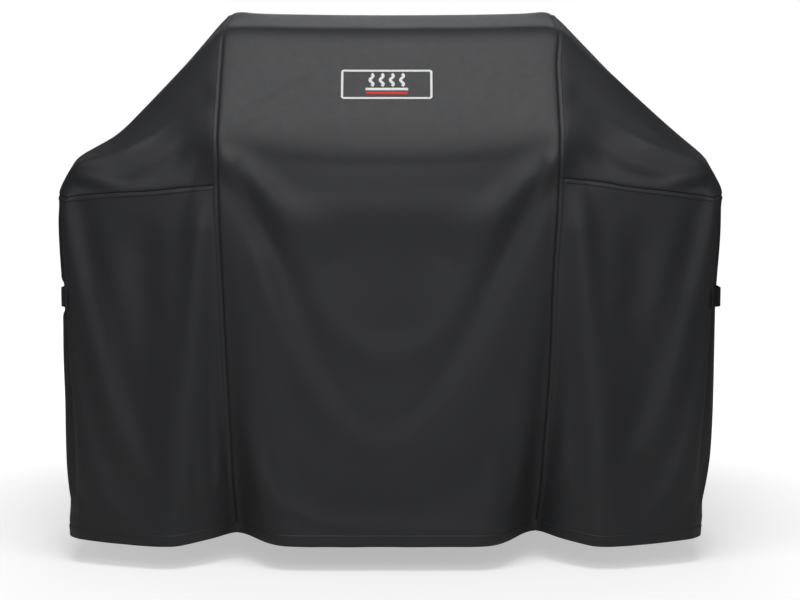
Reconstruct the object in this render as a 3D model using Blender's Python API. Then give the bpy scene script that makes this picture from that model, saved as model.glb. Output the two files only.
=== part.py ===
"""A fitted fabric cover for a three-burner gas grill with two side tables, hanging as it does on the grill.

The cover is sewn from six cut panels: a front panel that runs from the hem up over the hood to the ridge,
a back panel, a shoulder panel over each side table and a skirt panel that wraps each side. Raised seams join
them, a tape closes the hem, a badge is sewn to the hood, and on each side a front and a rear strap meet
in a hook-and-loop closure that draws the skirt in under the side table.

Metres, +Z up, the front faces -Y. The origin is on the top's underside, where the grill's hood carries it.
"""

import math

import bpy
import numpy as np
from mathutils import Matrix, Vector

# ---- driving dimensions; heights are above the hem ----
HALF_WIDTH = 0.662  # side seam to the middle
HOOD_HALF = 0.337  # centre seam to the middle, over the hood
RIDGE_Z = 1.068
TOP_FRONT_Z = 1.0235
CREASE_Z = 0.814  # where the hood's front meets the upright front
SEAM_Z = 0.710  # table seam where it leaves the centre seam
SIDE_SEAM_Z = 0.689  # table seam along the side
STRAP_Z = 0.491  # middle of the side straps
LOW_Z = 0.250
HEM_TAPE_Z = 0.024  # upper edge of the tape inside the hem

FRONT_Y = -0.270
BACK_Y = 0.240
TOP_FRONT_Y = -0.137
RIDGE_Y = 0.053
REAR_SLOPE_Y, REAR_SLOPE_Z = 0.160, 1.008
CORNER_Y = 0.240  # skirt's front and rear faces at the corners
CORNER_IN = 0.025  # chamfer that stands for the round corners
TURN_Y = CORNER_Y - 1.4 * CORNER_IN  # where the side's face starts, behind the chamfer

# Where the shoulders touch down on the side tables, and where they turn over the tables' edges.
TOUCH_X, TOUCH_Z, TOUCH_CORNER_Z = 0.555, 0.814, 0.774
TABLE_X, TABLE_EDGE_Z = 0.636, 0.765
TABLE_CORNER_X, TABLE_CORNER_Y, TABLE_CORNER_Z = 0.622, 0.228, 0.756
TABLE_RIB_Y = 0.130

FABRIC = 0.0025  # panel thickness, coated cloth with its lining
GAP = 0.0004  # half the gap between two panels at a seam
SEAM_RECESS = 0.080  # how far the front seams fall back at the hem
REAR_RECESS = 0.045
SEAM_DRAW = 0.032  # how far the centre seams draw together at the hem
HEM_LIFT = 0.012  # how far the hem rises at the seams
CREASE_SAG = 0.034  # how far the crease drops between the hood's corners
SIDE_TAPER = 0.017  # how far the sides come in from the side seam to the hem
STRAP_CINCH = 0.007  # how far the straps draw the sides in

WELT = 0.002  # radius of a raised seam
WELT_CLEAR = 0.0006
HEM_TAPE_THICK = 0.0012

STRAP_HIGH, STRAP_THICK = 0.038, 0.0016
STRAP_LONG = 0.245
STRIP_HIGH, STRIP_THICK, STRIP_LONG = 0.034, 0.0010, 0.085
ANCHOR_HIGH, ANCHOR_THICK, ANCHOR_LONG = 0.044, 0.0016, 0.036
LAYER_GAP = 0.0003
SKIRT_CLEAR = 0.0022  # between the skirt and the first strap

BADGE_WIDE, BADGE_HIGH, BADGE_THICK = 0.180, 0.075, 0.0012
BADGE_CORNER, BORDER, PRINT_THICK = 0.006, 0.0035, 0.0008
BADGE_SHARE = 0.545  # how far up the hood's front the badge sits

# Columns across the centre panels, as shares of their width.
COLUMNS = (0.0, 0.14, 0.38, 0.62, 0.86, 1.0)
COLUMN_NEXT_TO_SEAM = COLUMNS[1]

# The origin is on the top's underside, just behind the middle of its slope.
ORIGIN_SHARE = 0.6
TOP_SLOPE = math.atan2(RIDGE_Z - TOP_FRONT_Z, RIDGE_Y - TOP_FRONT_Y)
ORIGIN_Y = TOP_FRONT_Y + ORIGIN_SHARE * (RIDGE_Y - TOP_FRONT_Y) + FABRIC * math.sin(TOP_SLOPE)
ORIGIN_Z = TOP_FRONT_Z + ORIGIN_SHARE * (RIDGE_Z - TOP_FRONT_Z) - FABRIC * math.cos(TOP_SLOPE)


# ---- scene and materials ----
def clear_scene():
    for obj in list(bpy.data.objects):
        bpy.data.objects.remove(obj)


def make_material(name, colour, roughness):
    material = bpy.data.materials.new(name)
    material.use_nodes = True
    shader = material.node_tree.nodes["Principled BSDF"]
    shader.inputs["Base Color"].default_value = (*colour, 1.0)
    shader.inputs["Roughness"].default_value = roughness
    shader.inputs["Metallic"].default_value = 0.0
    material.diffuse_color = (*colour, 1.0)
    return material


def add_object(name, points, faces, material, parent=None):
    """A mesh object with its points given in world space. With a parent, its own origin is the parent's."""
    base = parent.location if parent else Vector((0, 0, 0))
    mesh = bpy.data.meshes.new(name)
    mesh.from_pydata([tuple(Vector(p) - base) for p in points], [], faces)
    mesh.materials.append(material)
    mesh.validate()
    obj = bpy.data.objects.new(name, mesh)
    bpy.context.scene.collection.objects.link(obj)
    obj.parent = parent
    return obj


# ---- the draped surface, as nets of points above the hem ----
def below_seam(z):
    """0 at the table seam and above it, rising to 1 at the hem."""
    return max(0.0, (SEAM_Z - z) / SEAM_Z)


def nearness_to_seam(share):
    """1 on a centre seam, falling to 0 one column away from it."""
    return max(0.0, 1.0 - min(share, 1.0 - share) / COLUMN_NEXT_TO_SEAM)


def centre_point(y, z, share, front, sag=0.0):
    """A point of the centre panels. The seams fall back and draw together towards the hem."""
    near, low = nearness_to_seam(share), below_seam(z)
    recess = (SEAM_RECESS if front else -REAR_RECESS) * near * low**1.3
    x = (HOOD_HALF - SEAM_DRAW * low) * (2 * share - 1)
    lift = HEM_LIFT * near if z <= HEM_TAPE_Z else 0.0
    middle = 1.0 - abs(2 * share - 1) ** 2
    return Vector((x, y + recess, z + lift - sag * middle))


def centre_net():
    """Rows from the front hem over the ridge to the rear hem, each from the left seam to the right seam."""
    upright = (0.0, HEM_TAPE_Z, LOW_Z, STRAP_Z, SEAM_Z)
    front = [[centre_point(FRONT_Y, z, c, True) for c in COLUMNS] for z in upright]
    hood = [
        [centre_point(FRONT_Y, CREASE_Z, c, True, CREASE_SAG) for c in COLUMNS],
        [centre_point(TOP_FRONT_Y, TOP_FRONT_Z, c, True) for c in COLUMNS],
        [centre_point(RIDGE_Y, RIDGE_Z, c, True) for c in COLUMNS],
        [centre_point(REAR_SLOPE_Y, REAR_SLOPE_Z, c, False) for c in COLUMNS],
        [centre_point(BACK_Y, CREASE_Z, c, False, CREASE_SAG) for c in COLUMNS],
    ]
    back = [[centre_point(BACK_Y, z, c, False) for c in COLUMNS] for z in reversed(upright)]
    return front + hood + back


FRONT_ROWS, RIDGE_ROW = 5, 7  # rows below the crease, and the row of the ridge


def shoulder_net(centre):
    """Ribs from front to rear, each from the centre seam out over the side table to the table seam (right side)."""
    edge = [row[-1] for row in centre[FRONT_ROWS - 1 : -FRONT_ROWS + 1]]

    def end_rib(start, face):
        """The rib that lies on the table seam across the front or the rear."""
        stop = Vector((HALF_WIDTH - CORNER_IN, face, SIDE_SEAM_Z + 0.002))
        return [start, start.lerp(stop, 0.35), start.lerp(stop, 0.68), stop]

    def rib(start, end_y, touch_z, over):
        """A rib that falls from the hood to the side table, turns over its edge and drops to the side seam."""
        touch = Vector((TOUCH_X, over[1], touch_z))
        return [start, touch, Vector(over), Vector((HALF_WIDTH, end_y, SIDE_SEAM_Z))]

    return [
        end_rib(edge[0], -CORNER_Y),
        rib(edge[1], -TURN_Y, TOUCH_CORNER_Z, (TABLE_CORNER_X, -TABLE_CORNER_Y, TABLE_CORNER_Z)),
        rib(edge[2], -0.120, TOUCH_Z, (TABLE_X, -TABLE_RIB_Y, TABLE_EDGE_Z)),
        rib(edge[3], 0.030, TOUCH_Z, (TABLE_X, 0.030, TABLE_EDGE_Z)),
        rib(edge[4], 0.120, TOUCH_Z, (TABLE_X, TABLE_RIB_Y, TABLE_EDGE_Z)),
        rib(edge[5], TURN_Y, TOUCH_CORNER_Z, (TABLE_CORNER_X, TABLE_CORNER_Y, TABLE_CORNER_Z)),
        end_rib(edge[6], CORNER_Y),
    ]


def skirt_net(centre, shoulder):
    """Rows from the hem up to the table seam, each from the front centre seam round the side to the rear one."""
    seam = shoulder[0] + [rib[-1] for rib in shoulder[1:-1]] + shoulder[-1][::-1]
    last = len(seam) - 1
    rows = []
    for row_index, z in enumerate((0.0, HEM_TAPE_Z, LOW_Z, STRAP_Z)):
        low = below_seam(z)
        row = [centre[row_index][-1]]
        for column in range(1, last):
            top = seam[column]
            in_x = SIDE_TAPER * low + (STRAP_CINCH if z == STRAP_Z else 0.0) * (top.x > 0.6)
            lift = 0.008 * (z <= HEM_TAPE_Z) * (top.x > 0.6 and abs(top.y) > 0.15)
            bulge = 0.016 * low * (top.x < 0.6) * (-1 if top.y < 0 else 1)
            row.append(Vector((top.x - in_x, top.y + bulge, z + lift)))
        row.append(centre[-1 - row_index][-1])
        rows.append(row)
    return rows + [seam]


def placed(net):
    """The net moved to the part's origin."""
    shift = Vector((0, ORIGIN_Y, ORIGIN_Z))
    return [[point - shift for point in row] for row in net]


def mirrored(net):
    """The left side's net, each row reversed so that its faces still point out."""
    return [[Vector((-p.x, p.y, p.z)) for p in reversed(row)] for row in net]


# ---- panels ----
def key(point):
    return tuple(round(c, 5) for c in point)


def offsets_of(nets):
    """For each point, the outward vector that moves every face meeting there out by one unit."""
    normals = {}
    for net in nets:
        for i in range(len(net) - 1):
            for j in range(len(net[0]) - 1):
                a, b, c, d = net[i][j], net[i][j + 1], net[i + 1][j + 1], net[i + 1][j]
                normal = (c - a).cross(d - b)
                if normal.length < 1e-9:
                    continue
                for corner in (a, b, c, d):
                    normals.setdefault(key(corner), []).append(normal.normalized())
    found = {}
    for at, around in normals.items():
        rows = np.array([tuple(n) for n in around])
        found[at] = Vector(np.linalg.lstsq(rows, np.ones(len(rows)), rcond=0.25)[0])
    return found


def drawn_in(net, layer, by):
    """The layer with its edges drawn in by a small gap, so that panels don't touch at their seams."""
    rows, columns = len(layer), len(layer[0])

    def step(i, j):
        inner_i = min(max(i, 1), rows - 2) if rows > 2 else i
        inner_j = min(max(j, 1), columns - 2) if columns > 2 else j
        move = Vector((0, 0, 0))
        if inner_i != i:
            move += (net[inner_i][j] - net[i][j]).normalized() * by
        if inner_j != j:
            move += (net[i][inner_j] - net[i][j]).normalized() * by
        return move

    return [[layer[i][j] + step(i, j) for j in range(columns)] for i in range(rows)]


def two_triangles(a, b, c, d, mirror):
    """A quad cut along its first diagonal, or along the other one on a mirrored side."""
    return [[a, b, d], [b, c, d]] if mirror else [[a, b, c], [a, c, d]]


def add_panel(name, net, offsets, material):
    """A closed solid of the panel's thickness under its net."""
    mirror = name.startswith("left")
    rows, columns = len(net), len(net[0])
    outer = drawn_in(net, net, GAP)
    under = [[p - offsets[key(p)] * FABRIC for p in row] for row in net]
    inner = drawn_in(net, under, GAP)
    points = [p for row in outer for p in row] + [p for row in inner for p in row]
    size = rows * columns

    def at(i, j, layer=0):
        return layer * size + i * columns + j

    faces = []
    for i in range(rows - 1):
        for j in range(columns - 1):
            for triangle in two_triangles(at(i, j), at(i, j + 1), at(i + 1, j + 1), at(i + 1, j), mirror):
                faces.append(triangle)
                faces.append([corner + size for corner in reversed(triangle)])
    rim = [(0, j) for j in range(columns)] + [(i, columns - 1) for i in range(1, rows)]
    rim += [(rows - 1, j) for j in range(columns - 2, -1, -1)] + [(i, 0) for i in range(rows - 2, 0, -1)]
    for here, there in zip(rim, rim[1:] + rim[:1]):
        faces.append([at(*here, 1), at(*there, 1), at(*there), at(*here)])
    return add_object(name, points, faces, material)


# ---- seams and hem ----
def add_welt(name, line, offsets, material, trim_start=0.0, trim_end=0.0):
    """A raised seam: a round tube that follows the line of points just outside the cloth."""
    path = [p + offsets[key(p)] * (WELT + WELT_CLEAR) for p in line]
    if trim_start:
        path[0] += (path[1] - path[0]).normalized() * trim_start
    if trim_end:
        path[-1] += (path[-2] - path[-1]).normalized() * trim_end
    curve = bpy.data.curves.new(name, "CURVE")
    curve.dimensions = "3D"
    curve.bevel_depth = WELT
    curve.bevel_resolution = 2
    curve.use_fill_caps = True
    spline = curve.splines.new("POLY")
    spline.points.add(len(path) - 1)
    for point, place in zip(spline.points, path):
        point.co = (*place, 1.0)
    curve.materials.append(material)
    obj = bpy.data.objects.new(name, curve)
    bpy.context.scene.collection.objects.link(obj)
    return obj


def add_hem_tape(name, columns, offsets, material):
    """A closed band inside the hem. Each column is the hem's point and the point at the tape's upper edge."""
    on_left = HOOD_HALF - SEAM_DRAW - GAP
    near, far = FABRIC + GAP, FABRIC + GAP + HEM_TAPE_THICK
    points = []
    for foot, top in columns:
        points += [
            foot - offsets[key(foot)] * near,
            top - offsets[key(top)] * near,
            foot - offsets[key(foot)] * far,
            top - offsets[key(top)] * far,
        ]
    faces = []
    count = len(columns)
    for i in range(count):
        low, high, low_in, high_in = range(4 * i, 4 * i + 4)
        next_low, next_high, next_low_in, next_high_in = (4 * ((i + 1) % count) + k for k in range(4))
        mirror = columns[i][0].x < -on_left and columns[(i + 1) % count][0].x < -on_left
        faces += two_triangles(low, next_low, next_high, high, mirror)
        inside = two_triangles(low_in, next_low_in, next_high_in, high_in, mirror)
        faces += [triangle[::-1] for triangle in inside]
        faces += [[low_in, next_low_in, next_low, low], [high, next_high, next_high_in, high_in]]
    return add_object(name, points, faces, material)


# ---- straps and badge ----
def rounded_outline(left, right, bottom, top, radius, steps=5):
    """A counter-clockwise rectangle with round corners."""
    corners = (
        (right - radius, bottom + radius, -90),
        (right - radius, top - radius, 0),
        (left + radius, top - radius, 90),
        (left + radius, bottom + radius, 180),
    )
    outline = []
    for cx, cy, first in corners:
        for k in range(steps + 1):
            angle = math.radians(first + 90 * k / steps)
            outline.append((cx + radius * math.cos(angle), cy + radius * math.sin(angle)))
    return outline


def add_slab(name, outline, thick, place, material, holes=None, parent=None):
    """A flat plate: the outline in place's X and Y, extruded thick along its Z. A hole has as many points."""
    loops = [outline] + ([holes] if holes else [])
    points = [place @ Vector((x, y, z)) for z in (0.0, thick) for loop in loops for x, y in loop]
    count, layer = len(outline), len(outline) * len(loops)
    faces = []
    if holes:
        for i in range(count):
            n = (i + 1) % count
            faces.append([count + i, count + n, n, i])
            faces.append([layer + i, layer + n, layer + count + n, layer + count + i])
            faces.append([count + n, count + i, layer + count + i, layer + count + n])
    else:
        faces.append(list(range(count - 1, -1, -1)))
        faces.append([layer + i for i in range(count)])
    for i in range(count):
        n = (i + 1) % count
        faces.append([i, n, layer + n, layer + i])
    return add_object(name, points, faces, material, parent)


def side_place(side, y, out, reverse):
    """A place on a side's face at the straps' height: X runs along the strap and Z points away from the skirt."""
    x = side * (HALF_WIDTH - SIDE_TAPER * below_seam(STRAP_Z) - STRAP_CINCH + out)
    along = Vector((0, -1 if reverse else 1, 0))
    outward = Vector((side, 0, 0))
    up = outward.cross(along)
    place = Matrix((along, up, outward)).transposed().to_4x4()
    place.translation = Vector((x, y - ORIGIN_Y, STRAP_Z - ORIGIN_Z))
    return place


def strap_outline(long):
    """A strap's outline: square at its sewn end, round at its free end."""
    half, blend = STRAP_HIGH / 2, 0.010
    outline = [(0.0005, -half)]
    for k in range(7):
        angle = math.radians(-90 + 90 * k / 6)
        outline.append((long - blend + blend * math.cos(angle), -half + blend + blend * math.sin(angle)))
    return outline + [(x, -y) for x, y in reversed(outline)]


def add_anchor(name, skirt, columns, offset_out, material):
    """The sewn end of a strap: a plate on the skirt's corner facet, between two columns of its strap row."""
    near, far = (skirt[-2][c] for c in columns)
    along, up = (far - near).normalized(), Vector((0, 0, 1))
    if along.cross(up).dot(Vector((near.x, near.y, 0))) < 0:
        along = -along
    outward = along.cross(up)
    place = Matrix((along, up, outward)).transposed().to_4x4()
    place.translation = (near + far) / 2 + outward * offset_out
    half_l, half_h = ANCHOR_LONG / 2, ANCHOR_HIGH / 2
    outline = rounded_outline(-half_l, half_l, -half_h, half_h, 0.003)
    return add_slab(name, outline, ANCHOR_THICK, place, material)


def add_closure(side, word, skirt, materials):
    """One side's closure: a rear strap with the loop strip, and over it a front strap with the hook strip."""
    layers = {"rear_strap": SKIRT_CLEAR}
    layers["loop_strip"] = layers["rear_strap"] + STRAP_THICK + LAYER_GAP
    layers["hook_strip"] = layers["loop_strip"] + STRIP_THICK + LAYER_GAP
    layers["front_strap"] = layers["hook_strip"] + STRIP_THICK + LAYER_GAP
    tip = STRAP_LONG - 0.008
    strip = rounded_outline(tip - STRIP_LONG, tip, -STRIP_HIGH / 2, STRIP_HIGH / 2, 0.004)
    for end, strap_out, strip_name, root_y in (
        ("front", layers["front_strap"], "hook_strip", -TURN_Y),
        ("rear", layers["rear_strap"], "loop_strip", TURN_Y),
    ):
        reverse = end == "rear"
        hinge_out = strap_out + STRAP_THICK + LAYER_GAP
        hinge = bpy.data.objects.new(f"{word}_{end}_strap_hinge", None)
        hinge.location = side_place(side, root_y, hinge_out, reverse).translation
        bpy.context.scene.collection.objects.link(hinge)
        strap_place = side_place(side, root_y, strap_out, reverse)
        strip_place = side_place(side, root_y, layers[strip_name], reverse)
        outline = strap_outline(STRAP_LONG)
        add_slab(f"{word}_{end}_strap", outline, STRAP_THICK, strap_place, materials["webbing"], parent=hinge)
        add_slab(f"{word}_{strip_name}", strip, STRIP_THICK, strip_place, materials[strip_name], parent=hinge)
        columns = (3, 4) if end == "front" else (8, 9)
        add_anchor(f"{word}_{end}_strap_anchor", skirt, columns, SKIRT_CLEAR, materials["webbing"])


def badge_place(out):
    """A place on the hood's front slope: X to the right, Y up the slope, Z away from the cloth."""
    foot = Vector((0, FRONT_Y - ORIGIN_Y, CREASE_Z - CREASE_SAG - ORIGIN_Z))
    head = Vector((0, TOP_FRONT_Y - ORIGIN_Y, TOP_FRONT_Z - ORIGIN_Z))
    up = (head - foot).normalized()
    right = Vector((1, 0, 0))
    outward = right.cross(up)
    place = Matrix((right, up, outward)).transposed().to_4x4()
    place.translation = foot.lerp(head, BADGE_SHARE) + outward * out
    return place


def wave_bar_outline():
    """A generic heat mark in one piece: a bar with three wavy lines that rise from it."""
    bar_high, bar_half, line = 0.005, 0.034, 0.0026
    rise, swing, steps = 0.030, 0.0032, 10
    base = -0.015
    outline = [(-bar_half, base), (bar_half, base), (bar_half, base + bar_high)]
    for centre in (0.022, 0.0, -0.022):
        wave = [
            (centre + swing * math.sin(2 * math.pi * k / steps), base + bar_high + rise * k / steps)
            for k in range(steps + 1)
        ]
        outline += [(x + line, y) for x, y in wave] + [(x - line, y) for x, y in reversed(wave)]
    return outline + [(-bar_half, base + bar_high)]


def add_badge(materials):
    """A sewn badge with a raised border, a generic heat mark and an accent bar."""
    half_w, half_h = BADGE_WIDE / 2, BADGE_HIGH / 2
    plate = rounded_outline(-half_w, half_w, -half_h, half_h, BADGE_CORNER)
    on_cloth = 0.0030
    on_plate = on_cloth + BADGE_THICK + LAYER_GAP
    add_slab("badge_plate", plate, BADGE_THICK, badge_place(on_cloth), materials["badge"])
    inner = rounded_outline(
        -half_w + BORDER, half_w - BORDER, -half_h + BORDER, half_h - BORDER, BADGE_CORNER - BORDER / 2
    )
    print_place = badge_place(on_plate)
    add_slab("badge_border", plate, PRINT_THICK, print_place, materials["print"], holes=inner)
    add_slab("badge_heat_mark", wave_bar_outline(), PRINT_THICK, print_place, materials["print"])
    accent = rounded_outline(-0.034, 0.034, -0.024, -0.0195, 0.0012)
    add_slab("badge_accent_bar", accent, PRINT_THICK, print_place, materials["accent"])


def main():
    clear_scene()
    materials = {
        "fabric": make_material("cover_fabric", (0.032, 0.032, 0.034), 0.75),
        "webbing": make_material("strap_webbing", (0.012, 0.012, 0.012), 0.80),
        "hook_strip": make_material("hook_tape", (0.020, 0.020, 0.020), 0.65),
        "loop_strip": make_material("loop_tape", (0.016, 0.016, 0.016), 0.95),
        "badge": make_material("badge_backing", (0.028, 0.028, 0.030), 0.55),
        "print": make_material("badge_print", (0.780, 0.780, 0.770), 0.50),
        "accent": make_material("badge_accent", (0.720, 0.040, 0.030), 0.50),
    }
    centre = centre_net()
    shoulder = shoulder_net(centre)
    skirt = skirt_net(centre, shoulder)
    nets = {
        "front_panel": placed(centre[: RIDGE_ROW + 1]),
        "back_panel": placed(centre[RIDGE_ROW:]),
        "right_shoulder_panel": placed(shoulder),
        "right_skirt_panel": placed(skirt),
    }
    nets["left_shoulder_panel"] = mirrored(nets["right_shoulder_panel"])
    nets["left_skirt_panel"] = mirrored(nets["right_skirt_panel"])
    offsets = offsets_of(nets.values())
    for name, net in nets.items():
        add_panel(name, net, offsets, materials["fabric"])

    whole = placed(centre)
    past_welt = 2 * WELT + 0.002
    for word, column, side in (("left", 0, -1), ("right", -1, 1)):
        line = [row[column] for row in whole]
        add_welt(f"{word}_centre_seam", line, offsets, materials["fabric"])
        table = nets["right_skirt_panel"][-1] if side > 0 else nets["left_skirt_panel"][-1]
        add_welt(f"{word}_table_seam", table, offsets, materials["fabric"], past_welt, past_welt)
        skirt_side = nets[f"{word}_skirt_panel"]
        if side < 0:
            skirt_side = [row[::-1] for row in skirt_side]
        add_closure(side, word, skirt_side, materials)
    add_welt("ridge_seam", whole[RIDGE_ROW], offsets, materials["fabric"], past_welt, past_welt)

    ring = [(whole[0][j], whole[1][j]) for j in range(len(COLUMNS))]
    right, left = nets["right_skirt_panel"], nets["left_skirt_panel"]
    ring += [(right[0][j], right[1][j]) for j in range(1, len(right[0]) - 1)]
    ring += [(whole[-1][j], whole[-2][j]) for j in range(len(COLUMNS) - 1, -1, -1)]
    ring += [(left[0][j], left[1][j]) for j in range(1, len(left[0]) - 1)]
    add_hem_tape("hem_tape", ring, offsets, materials["webbing"])
    add_badge(materials)


main()
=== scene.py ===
"""The looks of the fabric grill cover: draped cloth panels, felled seams, stitching, hem, straps and badge.

The cloth starts as the same nets of points that the CAD panels have. They are welded into one sheet,
smoothed, hung by a cloth simulation from where the grill holds it, and cut up again into the sewn panels.
Lengths are in metres. Heights in this script are above the hem; SHIFT moves everything to the row frame.
"""

import math

import bmesh
import bpy
import numpy as np
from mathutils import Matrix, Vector
from mathutils.bvhtree import BVHTree


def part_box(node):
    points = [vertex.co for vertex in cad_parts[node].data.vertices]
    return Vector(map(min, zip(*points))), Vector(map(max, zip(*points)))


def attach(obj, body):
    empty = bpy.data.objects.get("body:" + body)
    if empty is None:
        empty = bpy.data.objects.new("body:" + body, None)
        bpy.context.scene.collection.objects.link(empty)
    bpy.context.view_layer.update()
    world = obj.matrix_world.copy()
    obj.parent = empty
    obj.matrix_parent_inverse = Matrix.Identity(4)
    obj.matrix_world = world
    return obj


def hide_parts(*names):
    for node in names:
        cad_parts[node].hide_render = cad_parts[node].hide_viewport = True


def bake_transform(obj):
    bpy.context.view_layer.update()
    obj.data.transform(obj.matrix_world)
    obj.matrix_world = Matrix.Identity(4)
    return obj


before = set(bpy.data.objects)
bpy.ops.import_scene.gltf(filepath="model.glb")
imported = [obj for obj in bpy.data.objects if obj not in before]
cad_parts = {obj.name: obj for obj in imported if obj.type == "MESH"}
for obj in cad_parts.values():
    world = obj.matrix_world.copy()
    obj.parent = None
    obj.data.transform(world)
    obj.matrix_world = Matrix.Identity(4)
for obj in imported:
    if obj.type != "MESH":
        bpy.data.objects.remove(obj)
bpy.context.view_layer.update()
SIDES = (("left", -1), ("right", 1))

# ---- the cover's driving dimensions, as in the CAD ----
HALF_WIDTH = 0.662
HOOD_HALF = 0.337
RIDGE_Z = 1.068
TOP_FRONT_Z = 1.0235
CREASE_Z = 0.814
SEAM_Z = 0.710
SIDE_SEAM_Z = 0.689
STRAP_Z = 0.491
LOW_Z = 0.250
HEM_BAND_Z = 0.024
FRONT_Y = -0.270
BACK_Y = 0.240
TOP_FRONT_Y = -0.137
RIDGE_Y = 0.053
REAR_SLOPE_Y, REAR_SLOPE_Z = 0.160, 1.008
CORNER_Y = 0.240
CORNER_IN = 0.025
TURN_Y = CORNER_Y - 1.4 * CORNER_IN
SEAM_RECESS = 0.080
REAR_RECESS = 0.045
RECESS_POWER = 2.2  # the seams fall back late, close to the hem
SEAM_DRAW = 0.032
HEM_LIFT = 0.008
CREASE_SAG = 0.034
SIDE_TAPER = 0.017
STRAP_CINCH = 0.007
COLUMNS = (0.0, 0.14, 0.38, 0.62, 0.86, 1.0)
FRONT_ROWS, RIDGE_ROW = 5, 7

# Where each shoulder touches down on its side table.
TOUCH = {"left": (0.550, 0.812), "right": (0.568, 0.822)}
CORNER_TOUCH_Z = 0.774
TABLE_X, TABLE_EDGE_Z = 0.636, 0.765
TABLE_CORNER = (0.622, 0.228, 0.756)
TABLE_RIB_Y = 0.130
SEAM_RIB_Y = 0.120  # where the same rib meets the table seam
MIDDLE_RIB_Y = 0.030
SIDE_FROM_X = 0.6  # the skirts' fronts end inside this and their sides lie outside it
LEAN = 0.009  # how far the skirts hang to the left at the hem
RIGHT_DRAW = 0.006  # how much more the right one does
CORNER_FALL = 0.035  # how far the skirts' corners fall back at the hem
TABLE_SLOPE = 0.010  # how far the shoulders' upright faces lean back above the table seam
TOP_SAG = 0.005
SKIRT_BELLY = (0.004, 0.005, 0.012, 0.014)  # how far the skirts' fronts stand out, from the hem up
SKIRT_DROP = 0.003
LEFT_FULL = 0.004  # how far the left side stands out in its upper half
RIGHT_SEAM_IN = 0.008  # how far the right front centre seam is drawn to the middle
SEAM_RISE = {"left": 0.006, "right": 0.020}  # how far the front table seams rise at their inner ends
SEAM_RISE_OUT = 0.006  # and at their outer ends
EAR = 0.004  # how far the top's corners stand up where the seams meet

# Cells of the simulated cloth along each stretch of the nets. The finished cloth has twice as many.
UPRIGHT_CELLS = (2, 18, 18, 18)
HOOD_CELLS = (9, 20, 16, 10, 17, 9)
CENTRE_CELLS = (8, 13, 14, 13, 8)
RIB_CELLS = (22, 8, 8)
SMOOTHING_ROUNDS = 11

CLOTH_THICK = 0.0012
SEAM_SINK = 0.0014  # how far the thread draws the cloth in along its seams
HEM_TO_FLOOR = 0.052

ridge_low, ridge_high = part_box("ridge_seam")
HEM_AT = min(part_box(f"{side}_skirt_panel")[0].z for side, _ in SIDES)
SHIFT = np.array((0, (ridge_low.y + ridge_high.y) / 2 - RIDGE_Y, HEM_AT))


# ---- small functions ----
def bump(value, centre, width):
    return np.exp(-(((value - centre) / width) ** 2))


def slope(value, start, width):
    """0 before start and 1 past start + width, with a straight rise between them."""
    return np.clip((value - start) / width, 0, 1)


def ramp(value, start, end):
    """0 before start and 1 after end, with a smooth rise between them."""
    t = slope(value, start, end - start)
    return t * t * (3 - 2 * t)


def add_object(name, data):
    obj = bpy.data.objects.new(name, data)
    bpy.context.scene.collection.objects.link(obj)
    return obj


# ---- control nets ----
def below_seam(z):
    """0 from the table seam up, rising to 1 at the hem."""
    return max(0.0, (SEAM_Z - z) / SEAM_Z)


SIDE_FACE = HALF_WIDTH - SIDE_TAPER * below_seam(STRAP_Z) - STRAP_CINCH  # the sides' place at the straps


def centre_point(y, z, share, front, sag=0.0):
    near = max(0.0, 1.0 - min(share, 1.0 - share) / COLUMNS[1])
    low = below_seam(z)
    recess = (SEAM_RECESS if front else -REAR_RECESS) * near * low**RECESS_POWER
    x = (HOOD_HALF - SEAM_DRAW * low) * (2 * share - 1)
    lift = HEM_LIFT * near if z <= HEM_BAND_Z else 0.0
    return Vector((x, y + recess, z + lift - sag * (1.0 - (2 * share - 1) ** 2)))


def centre_net():
    """Rows from the front hem over the ridge to the rear hem, each from left to right."""
    upright = (0.0, HEM_BAND_Z, LOW_Z, STRAP_Z, SEAM_Z)
    rows = [(FRONT_Y, z, True, 0.0) for z in upright]
    rows += [
        (FRONT_Y, CREASE_Z, True, CREASE_SAG),
        (TOP_FRONT_Y, TOP_FRONT_Z, True, 0.0),
        (RIDGE_Y, RIDGE_Z, True, 0.0),
        (REAR_SLOPE_Y, REAR_SLOPE_Z, False, 0.0),
        (BACK_Y, CREASE_Z, False, CREASE_SAG),
    ]
    rows += [(BACK_Y, z, False, 0.0) for z in reversed(upright)]
    return [[centre_point(y, z, c, front, sag) for c in COLUMNS] for y, z, front, sag in rows]


def shoulder_net(edge, touch):
    """Ribs from front to rear, each from the centre seam out over the side table (right side)."""

    def end_rib(start, face):
        stop = Vector((HALF_WIDTH - CORNER_IN, face, SIDE_SEAM_Z + 0.002))
        return [start, start.lerp(stop, 0.35), start.lerp(stop, 0.68), stop]

    def rib(start, end_y, touch_z, over):
        end = Vector((HALF_WIDTH, end_y, SIDE_SEAM_Z))
        return [start, Vector((touch[0], over[1], touch_z)), Vector(over), end]

    corner_x, corner_y, corner_z = TABLE_CORNER
    return [
        end_rib(edge[0], -CORNER_Y),
        rib(edge[1], -TURN_Y, CORNER_TOUCH_Z, (corner_x, -corner_y, corner_z)),
        rib(edge[2], -SEAM_RIB_Y, touch[1], (TABLE_X, -TABLE_RIB_Y, TABLE_EDGE_Z)),
        rib(edge[3], MIDDLE_RIB_Y, touch[1], (TABLE_X, MIDDLE_RIB_Y, TABLE_EDGE_Z)),
        rib(edge[4], SEAM_RIB_Y, touch[1], (TABLE_X, TABLE_RIB_Y, TABLE_EDGE_Z)),
        rib(edge[5], TURN_Y, CORNER_TOUCH_Z, (corner_x, corner_y, corner_z)),
        end_rib(edge[6], CORNER_Y),
    ]


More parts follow.
